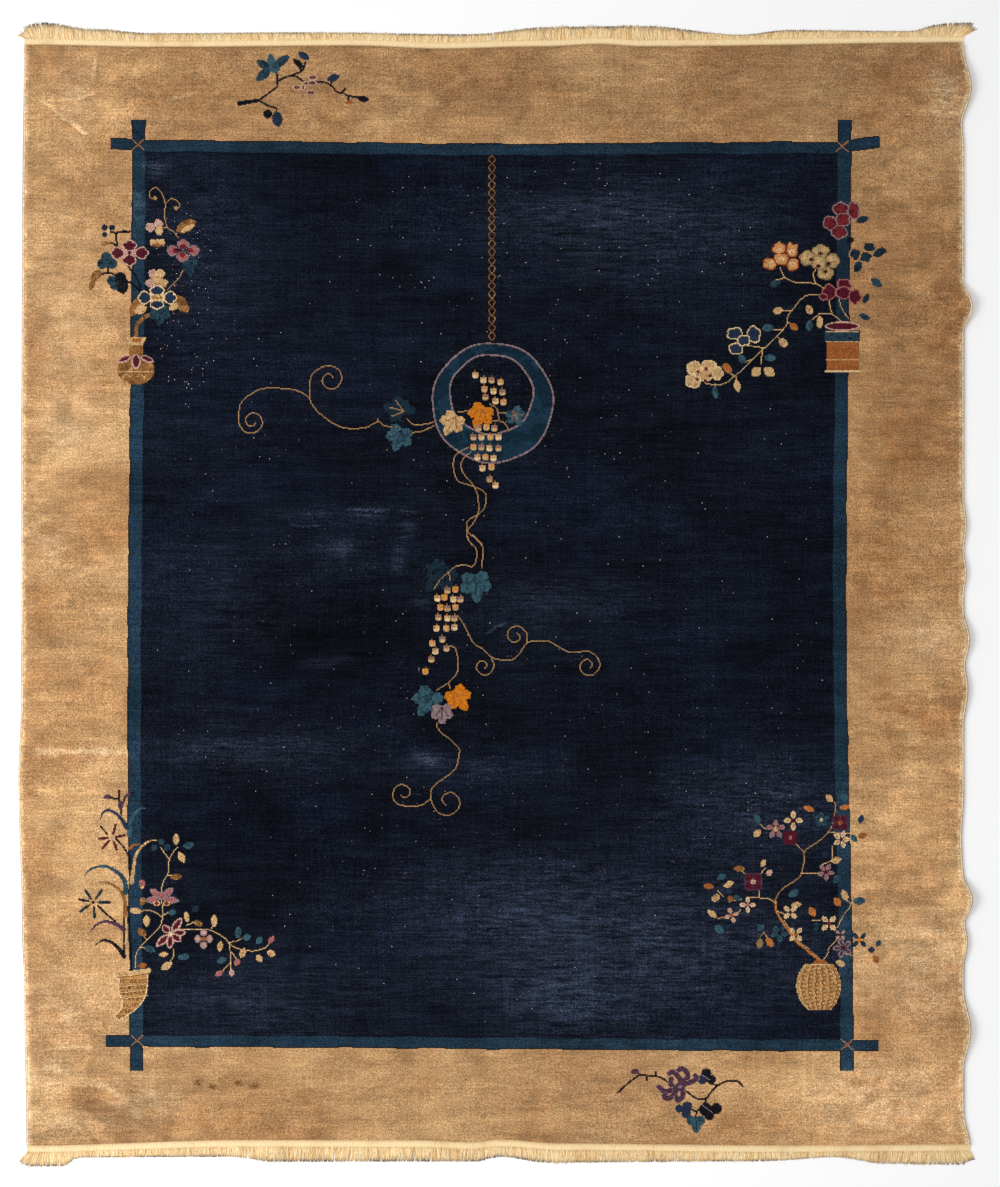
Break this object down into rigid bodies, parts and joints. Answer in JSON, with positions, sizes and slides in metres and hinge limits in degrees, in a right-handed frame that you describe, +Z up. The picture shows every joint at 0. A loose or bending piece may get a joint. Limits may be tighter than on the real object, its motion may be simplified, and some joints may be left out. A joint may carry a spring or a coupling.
{
  "type": "hand-knotted chinese art deco wool rug",
  "caption": "Flat knotted wool pile rug with a dark blue field, tan border, overcast sides and flat-woven cream ends with a short warp fringe.",
  "frame": {"origin": "on the floor, under the middle of the rug", "axes": "+Z up out of the pile, +Y along the rug towards the end with the hanging chain and ring, +X to the right seen from above"},
  "size_m": [2.4829, 2.9736, 0.0227],
  "materials": {
    "wool_pile": "clipped wool pile with a soft sheen",
    "overcast_wool": "wound wool yarn",
    "warp_cotton": "matte cotton flat weave and cut warp ends"
  },
  "bodies": {
    "root": {"pile_field": "wool_pile", "selvedge_left": "overcast_wool", "selvedge_right": "overcast_wool", "fringe_top": "warp_cotton", "fringe_bottom": "warp_cotton"}
  },
  "joints": []
}
